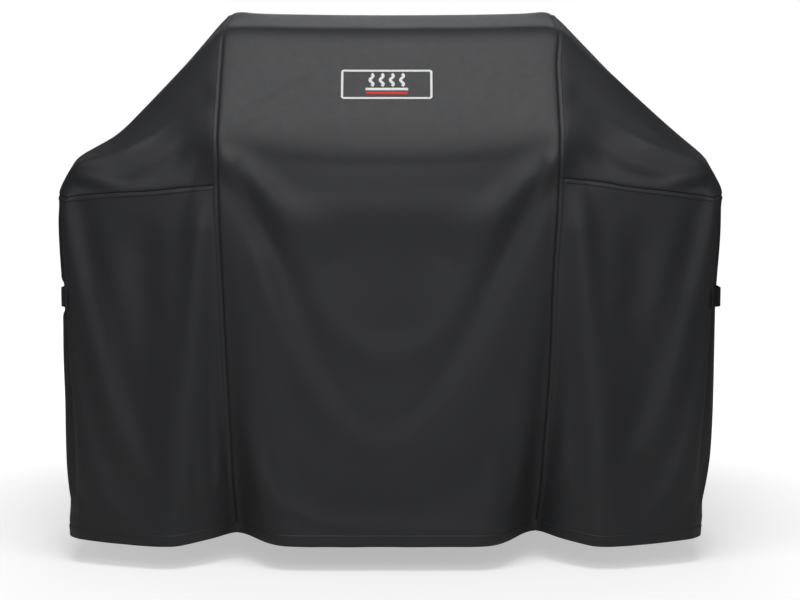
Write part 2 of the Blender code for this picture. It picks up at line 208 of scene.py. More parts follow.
def skirt_net(centre, shoulder):
    """Rows from the hem to the table seam, each from the front centre seam round to the rear one."""
    seam = shoulder[0] + [rib[-1] for rib in shoulder[1:-1]] + shoulder[-1][::-1]
    rows = []
    for index, z in enumerate((0.0, HEM_BAND_Z, LOW_Z, STRAP_Z)):
        low = below_seam(z)
        row = [centre[index][-1]]
        for top in seam[1:-1]:
            flat = top.x < SIDE_FROM_X
            in_x = SIDE_TAPER * low + (STRAP_CINCH if z == STRAP_Z and not flat else 0.0)
            belly = SKIRT_BELLY[index] * flat * (-1 if top.y < 0 else 1)
            row.append(Vector((top.x - in_x, top.y + belly, z - SKIRT_DROP * flat * (z <= HEM_BAND_Z))))
        rows.append(row + [centre[-1 - index][-1]])
    return rows + [seam]


def mirrored(net):
    return [[Vector((-p.x, p.y, p.z)) for p in reversed(row)] for row in net]


# ---- one welded cloth ----
def refined(net, row_cells, column_cells):
    """The net's points, with each stretch cut into its cells."""
    grid = np.array([[tuple(p) for p in row] for row in net])

    def cut(values, cells):
        parts = [
            here + (there - here) * (np.arange(count) / count)[:, None, None]
            for here, there, count in zip(values, values[1:], cells)
        ]
        return np.concatenate(parts + [values[-1:]]).transpose(1, 0, 2)

    return cut(cut(grid, row_cells), column_cells)


def unit(rows):
    return rows / np.linalg.norm(rows, axis=1, keepdims=True)


def run_lengths(places):
    """How far along a line each of its points lies."""
    return np.concatenate([[0], np.cumsum(np.linalg.norm(np.diff(places, axis=0), axis=1))])


def read_along(at, reach, rows):
    """Rows of values that are known at distances along a line, read at other distances."""
    return np.stack([np.interp(at, reach, column) for column in rows.T], axis=1)


def summed(index, rows, count):
    """Rows added up by their index."""
    return np.stack([np.bincount(index, column, count) for column in rows.T], axis=1)


def grid_faces(rows, columns):
    at = np.arange(rows * columns).reshape(rows, columns)
    return np.stack([at[:-1, :-1], at[:-1, 1:], at[1:, 1:], at[1:, :-1]], axis=-1).reshape(-1, 4)


class Cloth:
    """All panels as grids of indices into one array of points."""

    def __init__(self, grids):
        flat = np.concatenate([grid.reshape(-1, 3) for grid in grids.values()])
        _, first, index = np.unique(np.round(flat, 5), axis=0, return_index=True, return_inverse=True)
        self.points = flat[first]
        ends = np.cumsum([grid.size // 3 for grid in grids.values()])
        parts = zip(grids.items(), np.split(index.reshape(-1), ends[:-1]))
        self.index = {name: part.reshape(grid.shape[:2]) for (name, grid), part in parts}
        self.faces = np.concatenate([i.reshape(-1)[grid_faces(*i.shape)] for i in self.index.values()])
        ends = np.concatenate([self.faces[:, [k, (k + 1) % 4]] for k in range(4)])
        self.edges, uses = np.unique(np.sort(ends, axis=1), axis=0, return_counts=True)
        self.size = len(self.points)
        self.hem_edges = self.edges[uses == 1]
        self.on_hem = np.zeros(self.size, bool)
        self.on_hem[self.hem_edges.ravel()] = True

    def finer(self):
        """The same cloth with every cell cut in four."""

        def doubled(grid):
            """The grid with a row added halfway between its rows, turned over."""
            out = np.repeat(grid, 2, axis=0)[:-1]
            out[1::2] = (grid[:-1] + grid[1:]) / 2
            return out.transpose(1, 0, 2)

        return Cloth({name: doubled(doubled(self.grid(name))) for name in self.index})

    def averaged(self, values, rounds):
        """Values at the points, averaged with their neighbours' over and over."""
        a, b = self.edges.T
        count = np.bincount(self.edges.ravel(), minlength=self.size)[:, None]
        for _ in range(rounds):
            total = summed(a, values[b], self.size) + summed(b, values[a], self.size)
            values = (values + total / count) / 2
        return values

    def smooth(self, rounds, weight=0.5):
        """Pulls each point towards its neighbours, and the hem's only along the hem."""
        inner = self.edges[~(self.on_hem[self.edges[:, 0]] & self.on_hem[self.edges[:, 1]])]
        for _ in range(rounds):
            total, share = np.zeros_like(self.points), np.zeros(self.size)
            for edges, keep in ((inner, ~self.on_hem), (self.hem_edges, self.on_hem)):
                a, b = edges.T
                pull = 1.0 / (np.linalg.norm(self.points[a] - self.points[b], axis=1) + 0.002)
                for here, there in ((a, b), (b, a)):
                    use = (pull * keep[here])[:, None]
                    share += summed(here, use, self.size)[:, 0]
                    total += summed(here, use * self.points[there], self.size)
            found = share > 0
            self.points[found] += weight * (total[found] / share[found, None] - self.points[found])

    def normals(self):
        a, b, c, d = (self.points[corner] for corner in self.faces.T)
        face = np.cross(c - a, d - b)
        return unit(sum(summed(corner, face, self.size) for corner in self.faces.T))

    def grid(self, name):
        return self.points[self.index[name]]


def build_cloth():
    centre = centre_net()
    edge = [row[-1] for row in centre[FRONT_ROWS - 1 : -FRONT_ROWS + 1]]
    ring_cells = RIB_CELLS + HOOD_CELLS + RIB_CELLS[::-1]
    grids = {
        "front_panel": refined(centre[: RIDGE_ROW + 1], UPRIGHT_CELLS + HOOD_CELLS[:3], CENTRE_CELLS),
        "back_panel": refined(centre[RIDGE_ROW:], HOOD_CELLS[3:] + UPRIGHT_CELLS[::-1], CENTRE_CELLS),
    }
    for side, sign in SIDES:
        shoulder = shoulder_net(edge, TOUCH[side])
        skirt = skirt_net(centre, shoulder)
        rib_cells, ring = RIB_CELLS, ring_cells
        if sign < 0:
            shoulder, skirt = mirrored(shoulder), mirrored(skirt)
            rib_cells, ring = RIB_CELLS[::-1], ring_cells[::-1]
        grids[f"{side}_shoulder_panel"] = refined(shoulder, HOOD_CELLS, rib_cells)
        grids[f"{side}_skirt_panel"] = refined(skirt, UPRIGHT_CELLS, ring)
    return Cloth(grids)


# ---- hanging the cloth ----
SETTLE_FRAMES = 26
SETTLE_CAP = 0.007  # the furthest that the simulation may move a point
SETTLE_BROAD = 120  # rounds of averaging that give the broad sag, which the shape already has
SPARE_CLOTH = 0.012  # how much longer the cloth is than the shape it hangs on
STIFFNESS = {"tension": 25, "compression": 25, "shear": 8, "bending": 0.6, "pin": 0.6}
HANGING = {"quality": 5, "mass": 0.25, "air_damping": 2.0}


def held_share(points):
    """How firmly each point is held: fully on the hood's top and the tables' edges."""
    x, _, z = points.T
    on_hood = slope(z, 0.93, 0.05)
    on_tables = slope(np.abs(x), 0.59, 0.03) * slope(z, 0.725, 0.02)
    seams = bump(np.abs(x), HOOD_HALF, 0.02) * slope(z, 0.70, 0.1)
    shape = 0.10 + 0.25 * slope(-z, -0.05, 0.05)
    return np.maximum.reduce([on_hood, on_tables, 0.8 * seams, shape])


def kept_share(points):
    """The share kept of what the simulation moves: none on the hood and the tables, little at the hem."""
    x, _, z = points.T
    at_tables = ramp(np.abs(x), 0.46, 0.58) * ramp(z, 0.66, 0.71)
    return ramp(-z, -0.86, -0.74) * (0.15 + 0.85 * ramp(z, 0.02, 0.16)) * (1 - at_tables)


def settle(cloth):
    """Hangs the cloth by simulation from where the grill holds it, and keeps its folds."""
    mesh = bpy.data.meshes.new("hanging")
    mesh.from_pydata(cloth.points.tolist(), [], cloth.faces.tolist())
    obj = add_object("hanging", mesh)
    group = obj.vertex_groups.new(name="held")
    for index, weight in enumerate(held_share(cloth.points)):
        group.add([index], float(weight), "REPLACE")
    modifier = obj.modifiers.new("hang", "CLOTH")
    for name, value in (HANGING | {f"{way}_stiffness": v for way, v in STIFFNESS.items()}).items():
        setattr(modifier.settings, name, value)
    modifier.settings.vertex_group_mass = group.name
    modifier.settings.shrink_min = modifier.settings.shrink_max = -SPARE_CLOTH
    modifier.collision_settings.use_collision = False
    modifier.point_cache.frame_start = 1
    modifier.point_cache.frame_end = SETTLE_FRAMES
    for step in range(1, SETTLE_FRAMES + 1):
        bpy.context.scene.frame_set(step)
    hung = obj.evaluated_get(bpy.context.evaluated_depsgraph_get()).data
    places = np.zeros(cloth.size * 3, np.float32)
    hung.vertices.foreach_get("co", places)
    move = places.reshape(-1, 3) - cloth.points
    move -= cloth.averaged(move, SETTLE_BROAD)
    far = np.linalg.norm(move, axis=1, keepdims=True)
    kept = np.minimum(1, SETTLE_CAP / (far + 1e-9)) * kept_share(cloth.points)[:, None]
    cloth.points = cloth.points + move * kept
    bpy.data.objects.remove(obj)
    bpy.context.scene.frame_set(1)


# ---- folds ----
def fold(places, start, end, width, height, end_width):
    """A soft ridge from start, where it is narrow, to end, where it fades, or a valley."""
    line = np.array(end) - np.array(start)
    share = np.clip((places - start) @ line / (line @ line), 0, 1)
    distance = np.linalg.norm(places - start - share[:, None] * line, axis=1)
    wide = width + (end_width - width) * share
    rise = np.clip(share / 0.12, 0, 1) * (1 - np.clip((share - 0.55) / 0.45, 0, 1) ** 2)
    return height * rise * np.exp(-((distance / wide) ** 2))


# Folds on both sides of the front. Each has its start and its end as x and height, its width, how far it
# stands out, its width at the end, and the share of it that the back has.
FOLDS = (
    ((0.338, 0.788), (0.105, 0.580), 0.019, 0.0105, 0.045, 0.5),  # swag from the hood's corner
    ((0.335, 0.745), (0.150, 0.480), 0.018, -0.004, 0.035, 0.5),  # hollow under the swag
    ((0.362, 0.720), (0.425, 0.000), 0.026, 0.014, 0.040, 0.8),  # roll of the skirt beside the centre seam
    ((0.485, 0.660), (0.492, 0.020), 0.035, -0.011, 0.050, 1.0),
    ((0.570, 0.560), (0.565, 0.020), 0.030, 0.004, 0.040, 0.8),
    ((0.320, 0.806), (0.610, 0.750), 0.018, 0.0015, 0.016, 1.0),  # crease out to the table's corner
    ((0.345, 0.900), (0.520, 0.810), 0.022, -0.005, 0.018, 0.7),
    ((0.625, 0.735), (0.520, 0.714), 0.009, 0.003, 0.012, 0.6),  # gathers at the table's corner
    ((0.628, 0.715), (0.550, 0.702), 0.007, -0.002, 0.010, 0.6),
)
# And those that only the left side of the front has.
LEFT_FOLDS = (
    ((-0.325, 0.825), (-0.090, 0.945), 0.012, 0.0022, 0.022, 0.0),  # faint wrinkles across the hood's front
    ((-0.315, 0.860), (-0.120, 0.965), 0.010, -0.0016, 0.020, 0.0),
    ((-0.240, 0.640), (-0.270, 0.050), 0.040, 0.005, 0.050, 0.0),
)
BELLY, BELLY_Z, BELLY_TALL = 0.006, 0.665, 0.045  # the front stands out a little below the hood


def surface_folds(places, front, rear):
    """How far each place is pushed out, from how squarely it faces the front and the rear."""
    x, z = places.T
    push = np.zeros(len(places))
    for folds, sides in ((FOLDS, (-1, 1)), (LEFT_FOLDS, (1,))):
        for (x0, z0), (x1, z1), width, height, end_width, behind in folds:
            for side in sides:
                one = fold(places, (side * x0, z0), (side * x1, z1), width, height, end_width)
                push += one * (front + behind * rear)
    return push + BELLY * bump(z, BELLY_Z, BELLY_TALL) * ramp(-np.abs(x), -0.26, -0.12) * front


# The cloth folds in sharply just inside the centre seams, from this height down to the hem.
SEAM_FOLD_TOP = 0.62
SEAM_FOLD_START = 0.010  # the folds' width at their top
SEAM_FOLDS = {-1: (0.027, 0.028), 1: (0.044, 0.032)}  # depth and added width at the hem, left and right


def seam_folds(points, front):
    x, _, z = points.T
    depth = np.zeros(len(points))
    low = slope(-z, -SEAM_FOLD_TOP, SEAM_FOLD_TOP)
    seam_x = HOOD_HALF - SEAM_DRAW * slope(-z, -SEAM_Z, SEAM_Z)
    for side, (deep, wide) in SEAM_FOLDS.items():
        width = SEAM_FOLD_START + wide * low
        away = np.abs(x * side + LEAN * side * low - (seam_x - 0.35 * width))
        depth += deep * low**1.4 * np.exp(-((away / width) ** 2))
    return depth * front


def hang_loose(cloth):
    """Moves the cloth to how unevenly it hangs, to the left and with its corners fallen back."""
    x, y, z = cloth.points.T
    low = slope(-z, -SEAM_Z, SEAM_Z)
    outside = ramp(np.abs(x), 0.40, 0.66)
    cloth.points[:, 1] = y + CORNER_FALL * low * outside * ramp(-y, 0.10, 0.24)
    right, left = ramp(x, 0.30, 0.60), ramp(-x, 0.30, 0.60)
    full = LEFT_FULL * left * ramp(low, 0.0, 0.1) * ramp(-low, -0.65, -0.45)
    cloth.points[:, 0] = x - (LEAN + RIGHT_DRAW * right) * low ** (1 + 2 * right) - full
    near_hood = ramp(x, 0.27, 0.325) * ramp(-x, -0.46, -0.35) * ramp(z, 0.30, 0.60) * ramp(-z, -1.02, -0.94)
    cloth.points[:, 0] -= RIGHT_SEAM_IN * near_hood * (y < 0)
    at_seam = bump(z, SEAM_Z - 0.01, 0.050) * ramp(np.abs(x), 0.29, 0.33) * (y < 0.10)
    inner = np.where(x > 0, SEAM_RISE["right"], SEAM_RISE["left"])
    z = z + at_seam * (inner + (SEAM_RISE_OUT - inner) * ramp(np.abs(x), 0.34, 0.64))
    upright = ramp(np.abs(x), 0.337, 0.42) * ramp(z, SIDE_SEAM_Z, 0.80) * ramp(-z, -0.90, -0.80)
    upright *= 1 - ramp(np.abs(x), 0.40, 0.52)
    cloth.points[:, 1] -= np.sign(y) * TABLE_SLOPE * upright * ramp(np.abs(y), 0.15, 0.24)
    ears = EAR * bump(np.abs(x), HOOD_HALF - 0.012, 0.030) * bump(y, RIDGE_Y, 0.060) * ramp(z, 0.98, 1.02)
    sag = TOP_SAG * np.clip(1 - (x / HOOD_HALF) ** 2, 0, 1) * ramp(z, 0.98, 1.03)
    cloth.points[:, 2] = z + ears - sag


def add_folds(cloth):
    normal = cloth.normals()
    front, rear = np.clip(-normal[:, 1], 0, 1), np.clip(normal[:, 1], 0, 1)
    push = surface_folds(cloth.points[:, [0, 2]], front, rear)
    cloth.points = cloth.points + normal * push[:, None]
    cloth.points[:, 1] += seam_folds(cloth.points, ramp(-cloth.points[:, 1], 0.08, 0.16))


def press_under_straps(cloth):
    """Draws each skirt's side in under its straps, so that it lies inside them."""
    x, y, z = cloth.points.T
    near = ramp(-np.abs(z - STRAP_Z), -0.055, -0.024) * ramp(-np.abs(y), -TURN_Y - 0.02, -TURN_Y)
    limit = SIDE_FACE + 0.02 * (1 - near)
    over = np.clip(np.abs(x) - limit, 0, None) * (np.abs(x) > SIDE_FROM_X)
    cloth.points[:, 0] = x - np.sign(x) * over


# ---- materials ----
def add_node(tree, kind, **values):
    """A shader node with its properties and its inputs set or linked. Inputs' names have _ for spaces."""
    node = tree.nodes.new("ShaderNode" + kind)
    for name, value in values.items():
        if hasattr(node, name):
            setattr(node, name, value)
        else:
            feed(tree, value, node.inputs[name.replace("_", " ")])
    return node


def feed(tree, value, socket):
    """Sets an input to a value, or links it to another node's output."""
    if isinstance(value, bpy.types.NodeSocket):
        tree.links.new(value, socket)
    else:
        socket.default_value = value


def math_node(tree, operation, first, second=None):
    node = add_node(tree, "Math", operation=operation)
    for socket, value in zip(node.inputs, (first, second)):
        if value is not None:
            feed(tree, value, socket)
    return node.outputs[0]


def new_material(name, roughness, sheen=0.0, specular=0.5):
    """A material, its node tree, its shader and its texture coordinates."""
    material = bpy.data.materials.new(name)
    material.use_nodes = True
    tree = material.node_tree
    shader = tree.nodes["Principled BSDF"]
    shader.inputs["Roughness"].default_value = roughness
    shader.inputs["Sheen Weight"].default_value = sheen
    shader.inputs["Sheen Roughness"].default_value = 0.4
    shader.inputs["Specular IOR Level"].default_value = specular
    return material, tree, shader, add_node(tree, "TexCoord").outputs


def mottled(tree, shader, dark, light, source, scale):
    """Base colour that wanders softly between two shades."""
    cloud = add_node(tree, "TexNoise", Scale=scale, Detail=5.0, Roughness=0.6, Vector=source)
    shades = add_node(tree, "ValToRGB", Fac=cloud.outputs["Fac"])
    for stop, place, colour in zip(shades.color_ramp.elements, (0.3, 0.7), (dark, light)):
        stop.position = place
        stop.color = (*colour, 1)
    tree.links.new(shades.outputs["Color"], shader.inputs["Base Color"])


def woven(tree, source, pitch_u, pitch_v):
    """Heights of a plain weave over coordinates in metres."""
    parts = add_node(tree, "SeparateXYZ", Vector=source)
    waves = [
        math_node(tree, "SINE", math_node(tree, "MULTIPLY", parts.outputs[k], math.pi / pitch))
        for k, pitch in ((0, pitch_u), (1, pitch_v))
    ]
    return math_node(tree, "MULTIPLY", *waves)


def add_bump(tree, shader, height, distance, strength, **under):
    """Relief over the relief under it. Returns its normals."""
    node = add_node(tree, "Bump", Strength=strength, Distance=distance, Height=height, **under)
    tree.links.new(node.outputs["Normal"], shader.inputs["Normal"])
    return node.outputs["Normal"]


def shades_of(colour, *shares):
    """Darker and lighter shades of a colour, or of a grey given as one value."""
    return [np.minimum(1.0, share * np.broadcast_to(colour, 3)) for share in shares]


def cover_material():
    """Coated polyester: a fine weave under a dull, slightly crinkled coat."""
    material, tree, shader, place = new_material("coated_polyester", 0.56, sheen=0.06, specular=0.42)
    mottled(tree, shader, (0.0215, 0.0222, 0.0245), (0.0255, 0.0262, 0.0285), place["Object"], 6.0)
    crinkle = add_node(tree, "TexNoise", Scale=70.0, Detail=6.0, Roughness=0.55, Vector=place["Object"])
    crinkle = crinkle.outputs["Fac"]
    coat = add_bump(tree, shader, crinkle, 0.0006, 0.35)
    add_bump(tree, shader, woven(tree, place["UV"], 0.0011, 0.0011), 0.00012, 0.5, Normal=coat)
    spread = add_node(tree, "MapRange", To_Min=0.50, To_Max=0.62, Value=crinkle)
    tree.links.new(spread.outputs["Result"], shader.inputs["Roughness"])
    return material


def webbing_material(name, shade):
    """Woven webbing: ribs across the strap with fine threads along it."""
    material, tree, shader, place = new_material(name, 0.7, sheen=0.1, specular=0.3)
    mottled(tree, shader, *shades_of(shade, 0.8, 1.25), place["UV"], 220.0)
    add_bump(tree, shader, woven(tree, place["UV"], 0.0016, 0.0010), 0.0004, 0.8)
    return material


def twisted(tree, source, distortion):
    """Heights of close slanting threads."""
    how = {"Scale": 420.0, "Distortion": distortion, "bands_direction": "DIAGONAL"}
    return add_node(tree, "TexWave", Vector=source, **how).outputs["Fac"]


def thread_material(name, colour):
    """Twisted sewing thread."""
    material, tree, shader, place = new_material(name, 0.6, sheen=0.1)
    mottled(tree, shader, *shades_of(colour, 0.75, 1.2), place["Object"], 260.0)
    add_bump(tree, shader, twisted(tree, place["Object"], 1.0), 0.0002, 0.5)
    return material


def satin_material(name, colour):
    """Embroidery in satin stitch: close parallel threads with a slight gloss."""
    material, tree, shader, place = new_material(name, 0.42, sheen=0.15)
    mottled(tree, shader, *shades_of(colour, 0.80, 1.08), place["UV"], 420.0)
    add_bump(tree, shader, twisted(tree, place["UV"], 0.6), 0.0004, 0.6)
    return material


def tape_material(name, shade, scale, height):
    """Hook or loop tape: a dense field of small tufts or hooks."""
    material, tree, shader, place = new_material(name, 0.75, sheen=0.3)
    mottled(tree, shader, *shades_of(shade, 0.6, 1.5), place["Object"], 300.0)
    field = add_node(tree, "TexVoronoi", Scale=scale, Randomness=0.4, Vector=place["Object"])
    add_bump(tree, shader, field.outputs["Distance"], height, 0.9)
    return material


# ---- pieces ----
def new_piece(name, points, faces, material, slot=None, body="cover", replaces=(), uv=None):
    """A mesh object. Its points are given above the hem, and uv in metres for each of them."""
    mesh = bpy.data.meshes.new(name)
    points = np.asarray(points, float) + SHIFT
    mesh.from_pydata(points.tolist(), [], [[int(i) for i in f] for f in faces])
    mesh.materials.append(material)
    mesh.shade_smooth()
    if uv is not None:
        layer = mesh.uv_layers.new(name="flat")
        corners = np.zeros(len(mesh.loops), np.int32)
        mesh.loops.foreach_get("vertex_index", corners)
        layer.data.foreach_set("uv", np.asarray(uv, np.float32)[corners].ravel())
    obj = add_object(name, mesh)
    if body:
        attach(obj, body)
    for node in replaces:
        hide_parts(node)
    return obj


def flat_lengths(grid):
    """Metres along the columns and the rows of a grid, averaged over it."""
    out = []
    for axis in (1, 0):
        steps = np.linalg.norm(np.diff(grid, axis=axis), axis=2).mean(axis=1 - axis)
        out.append(np.concatenate([[0], np.cumsum(steps)]))
    return out


def loft(rings, closed=False):
    """Points, faces and flat coordinates of a solid whose cross-sections are the rings of points."""
    count, around = rings.shape[:2]
    i = np.arange(count if closed else count - 1)[:, None]
    j = np.arange(around)[None, :]
    ahead, beside = (i + 1) % count, (j + 1) % around
    quads = [i * around + j, ahead * around + j, ahead * around + beside, i * around + beside]
    faces = np.stack(quads, axis=-1).reshape(-1, 4).tolist()
    if not closed:
        faces.append(list(range(around)))
        faces.append(list(range(count * around - 1, (count - 1) * around - 1, -1)))
    lengths = run_lengths(rings.mean(axis=1)), run_lengths(rings[0])
    uv = np.stack(np.meshgrid(*lengths, indexing="ij"), axis=-1).reshape(-1, 2)
    return rings.reshape(-1, 3), faces, uv


def joined(parts):
    """Several solids as one: their points, faces and flat coordinates."""
    points, faces, uv, start = [], [], [], 0
    for part_points, part_faces, part_uv in parts:
        points.append(part_points)
        faces += [[i + start for i in face] for face in part_faces]
        uv.append(part_uv)
        start += len(part_points)
    return np.concatenate(points), faces, np.concatenate(uv)


def add_solid(name, shape, material, **how):
    """A piece of closed solids, with their faces turned to point out."""
    points, faces, uv = shape
    obj = new_piece(name, points, faces, material, uv=uv, **how)
    work = bmesh.new()
    work.from_mesh(obj.data)
    bmesh.ops.recalc_face_normals(work, faces=work.faces)
    work.to_mesh(obj.data)
    work.free()
    return obj


def add_panels(cloth, material):
    made = {}
    for name in cloth.index:
        grid = cloth.grid(name)
        uv = np.stack(np.meshgrid(*flat_lengths(grid)), axis=-1).reshape(-1, 2)
        points, faces = grid.reshape(-1, 3), grid_faces(*grid.shape[:2])
        piece = name.replace("_panel", "_cloth")
        made[name] = new_piece(piece, points, faces, material, "cover_fabric", replaces=[name], uv=uv)
        shell = made[name].modifiers.new("thickness", "SOLIDIFY")
        shell.thickness = CLOTH_THICK
        shell.offset = -1
    return made


# ---- sewn edges ----
# Cross-sections: how far from the seam or up from the hem, and how far out from the cloth.
FELLED = (
    (0.0004, -0.0012), (0.0004, 0.0004), (0.0010, 0.0010), (0.0020, 0.0009), (0.0045, 0.0011),
    (0.0070, 0.0009), (0.0080, 0.0010), (0.0087, 0.0005), (0.0090, -0.0006),
)
HEM = (
    (0.0225, -0.0003), (0.0225, 0.0006), (0.0205, 0.0010), (0.0195, 0.0008), (0.0180, 0.0010),
    (0.0040, 0.0011), (0.0, 0.0009), (-0.0010, 0.0002), (-0.0013, -0.0006), (-0.0010, -0.0014),
    (0.0, -0.0021), (0.0040, -0.0023), (0.0205, -0.0022), (0.0225, -0.0018),
)
FELLED_STITCHES = (0.0020, 0.0070)
HEM_STITCHES = (0.0195,)
REACH_BACK = 0.003  # how far a profile may reach past its seam
STRIP_COLUMNS = 8


def centre_strip(cloth, side):
    """The cloth beside a centre seam, front to rear over the hood. Rows go out from the seam."""
    skirt, shoulder = cloth.index[f"{side}_skirt_panel"], cloth.index[f"{side}_shoulder_panel"]
    if side == "left":
        skirt, shoulder = skirt[:, ::-1], shoulder[:, ::-1]
    rear = skirt[-2::-1, ::-1]
    return np.concatenate([part[:, :STRIP_COLUMNS] for part in (skirt[:-1], shoulder, rear)])


def table_strip(cloth, side):
    """The cloth just below a table seam, front to rear. Rows go down from the seam."""
    return cloth.index[f"{side}_skirt_panel"][:-STRIP_COLUMNS:-1].T


def ridge_strip(cloth):
    return cloth.index["back_panel"][:STRIP_COLUMNS].T


def hem_strip(cloth):
    """The cloth above the hem, all the way round. Rows go up from the hem."""
    back = cloth.index["back_panel"][::-1, ::-1]
    front, right, left = (cloth.index[f"{name}_panel"] for name in ("front", "right_skirt", "left_skirt"))
    return np.concatenate([part[:STRIP_COLUMNS, :-1] for part in (front, right, back, left)], axis=1).T


def beside_seam(cloth, normals, strip, profile):
    """The points of a profile laid along a strip of cloth, one ring for each of its rows."""
    distances, heights = np.array(profile).T
    rings = []
    for row in strip:
        places, out = cloth.points[row], normals[row]
        first = places[:1] - REACH_BACK * unit(places[1:2] - places[:1])
        places, out = np.vstack([first, places]), np.vstack([out[:1], out])
        reach = run_lengths(places) - REACH_BACK
        at, up = (read_along(distances, reach, rows) for rows in (places, out))
        rings.append(at + up * heights[:, None])
    return np.array(rings)


def stitch_lines(cloth, normals, strip, distances, height, closed=False):
    """Lines of stitching beside a seam, each as its points and the directions out of the cloth."""
    lines = []
    for distance in distances:
        low, high = (beside_seam(cloth, normals, strip, ((distance, h),))[:, 0] for h in (0.0, height))
        if closed:
            low, high = (np.vstack([line, line[:1]]) for line in (low, high))
        lines.append((high, (high - low) / height))
    return lines


STITCH_PITCH = 0.0046
STITCH_LONG = 0.0034
STITCH_THICK = 0.0007
STITCH_SIDES = 4
# Rings of a stitch: place along its half length, then width and height in thicknesses.
STITCH_RINGS = ((-1.0, 0.45, -0.35), (-0.6, 0.95, 0.25), (0.6, 0.95, 0.25), (1.0, 0.45, -0.35))


def stitches(lines):
    """Short lengths of thread along lines of points, each dipping into the cloth at both ends."""
    centres, alongs, outs = [], [], []
    for places, out in lines:
        reach = run_lengths(places)
        at = np.arange(STITCH_PITCH / 2, reach[-1], STITCH_PITCH)
        ends = [read_along(at + share * STITCH_LONG, reach, places) for share in (-0.5, 0.5)]
        centres.append(read_along(at, reach, places))
        alongs.append(ends[1] - ends[0])
        outs.append(read_along(at, reach, out))
    centre, along, out = (np.concatenate(rows) for rows in (centres, alongs, outs))
    along = unit(along)
    beside = unit(np.cross(along, out))
    out = np.cross(beside, along)
    corners = []
    for share, wide, rise in STITCH_RINGS:
        for k in range(STITCH_SIDES):
            angle = 2 * math.pi * (k + 0.5) / STITCH_SIDES
            side = wide * STITCH_THICK / 2 * math.cos(angle)
            up = STITCH_THICK * (rise + wide / 2 * math.sin(angle))
            corners.append(centre + along * share * STITCH_LONG / 2 + beside * side + out * up)
    shape = np.stack(corners, axis=1)
    single = loft(shape[0].reshape(len(STITCH_RINGS), STITCH_SIDES, 3))[1]
    size = shape.shape[1]
    faces = [[i + size * k for i in face] for k in range(len(shape)) for face in single]
    uv = np.tile(shape[0][:, :2], (len(shape), 1))
    return shape.reshape(-1, 3), faces, uv


def sink_seams(cloth):
    """Draws the cloth in along its seams, as the thread does."""
    normals = cloth.normals()
    lines = [strip(cloth, side)[:, 0] for strip in (centre_strip, table_strip) for side, _ in SIDES]
    for point in np.unique(np.concatenate(lines)):
        cloth.points[point] -= SEAM_SINK * normals[point]


def add_seams(cloth, fabric, thread):
    """The sewn edges and their stitching. Returns the pieces of each, by the name of the edge."""
    normals = cloth.normals()
    made = {}

    def seam(name, strip, profile, distances, closed=False, trim=0):
        strip = strip[trim : len(strip) - trim]
        shape = loft(beside_seam(cloth, normals, strip, profile), closed)
        piece = add_solid(f"sewn_{name}", shape, fabric, slot="cover_fabric", replaces=[name])
        height = max(h for _, h in profile) - 0.0001
        lines = stitch_lines(cloth, normals, strip, distances, height, closed)
        made[name] = [piece, add_solid(f"{name}_stitching", stitches(lines), thread)]

    for side, _ in SIDES:
        seam(f"{side}_centre_seam", centre_strip(cloth, side), FELLED, FELLED_STITCHES)
        seam(f"{side}_table_seam", table_strip(cloth, side), FELLED, FELLED_STITCHES, trim=5)
    seam("ridge_seam", ridge_strip(cloth), FELLED, FELLED_STITCHES, trim=1)
    seam("hem_tape", hem_strip(cloth), HEM, HEM_STITCHES, closed=True)
    return made


# ---- straps ----
STRAP_HIGH, STRAP_THICK, STRAP_LONG = 0.038, 0.0016, 0.245
STRIP_LONG, STRIP_FROM_TIP, STRIP_HIGH = 0.085, 0.008, 0.034
TIP_RADIUS = 0.010
PATCH_HIGH, PATCH_THICK, PATCH_RADII = 0.044, 0.0014, (0.003, 0.003)
PATCH_FROM, PATCH_TO = -0.028, -0.004  # along the strap, from its hinge
BEND_FROM, BEND_TO = -0.004, 0.012  # where a lifted strap would bend; add_strap finds its points there but uses them no further
STRAP_STEP = 0.0025
TAPE_PROUD = 0.0013  # how far the loop strip stands out of its strap
TAPES = {"hook": (0.020, 900.0, 0.0008), "loop": (0.016, 600.0, 0.0010)}  # shade, fineness and depth
# How far the middle of each strap lies outside the skirt's side. The tapes lie between the two straps.
STRAP_CLEAR, TAPES_THICK, TAPE_GAP = 0.0022, 0.0016, 0.0003
STRAP_OUT = {
    "rear": STRAP_CLEAR + STRAP_THICK / 2,
    "front": STRAP_CLEAR + 1.5 * STRAP_THICK + TAPES_THICK + 3 * TAPE_GAP,
}
WEBBING_SHADE = {"left": 0.026, "right": 0.005}
# A cross-section of webbing, in half heights and half thicknesses, with a thicker selvedge.
WEBBING_RING = (
    (-1.0, 0.0), (-0.98, 0.8), (-0.90, 1.15), (-0.82, 0.95), (0.0, 0.95), (0.82, 0.95), (0.90, 1.15),
    (0.98, 0.8), (1.0, 0.0), (0.98, -0.8), (0.90, -1.0), (0.0, -0.95), (-0.90, -1.0), (-0.98, -0.8),
)


def facing_out(line, sign):
    """Directions in plan square to a line, to the side away from the middle."""
    turn = np.gradient(line, axis=0)
    out = unit(np.stack([turn[:, 1], -turn[:, 0]], axis=1))
    return out * np.sign(out[:, :1] * sign)


